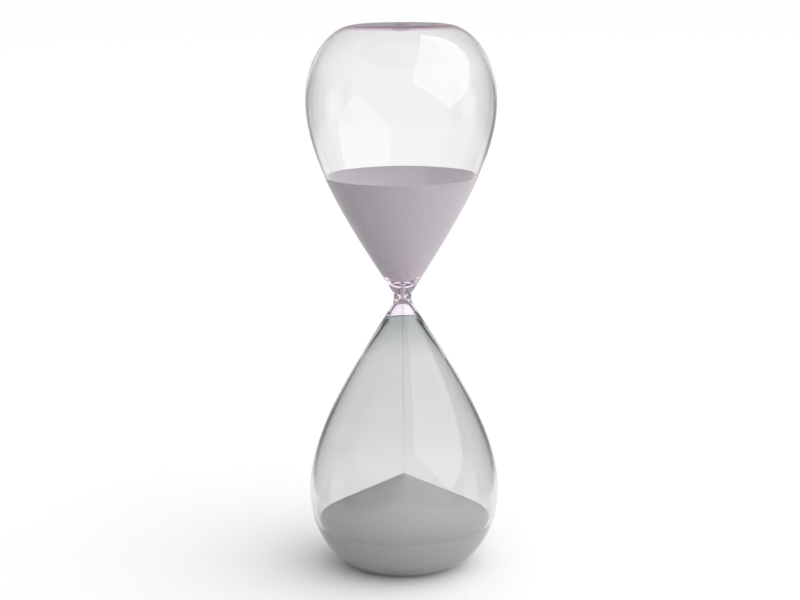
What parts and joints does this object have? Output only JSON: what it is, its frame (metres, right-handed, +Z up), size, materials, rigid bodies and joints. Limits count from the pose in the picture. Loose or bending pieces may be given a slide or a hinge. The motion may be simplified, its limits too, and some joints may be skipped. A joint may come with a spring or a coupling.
{
  "type": "hourglass",
  "caption": "Frameless sand glass of two blown teardrop bulbs, clear rose over smoke grey, joined at a narrow throat, with pale sand part way through a run.",
  "frame": {"origin": "middle of the lower bulb's rest face", "axes": "+Z up along the axis of both bulbs, -Y towards the front, +X to the right"},
  "size_m": [0.079, 0.079, 0.225],
  "materials": {
    "rose_glass": "clear blown borosilicate glass, faint rose tint, fire polished",
    "smoke_glass": "clear blown borosilicate glass, smoke grey tint, fire polished",
    "sand": "fine dry pale lilac-grey sand, matt"
  },
  "bodies": {
    "root": {"upper_bulb": "rose_glass", "lower_bulb": "smoke_glass", "filling_seal": "rose_glass", "upper_sand": "sand", "sand_stream": "sand", "lower_sand": "sand"}
  },
  "joints": []
}
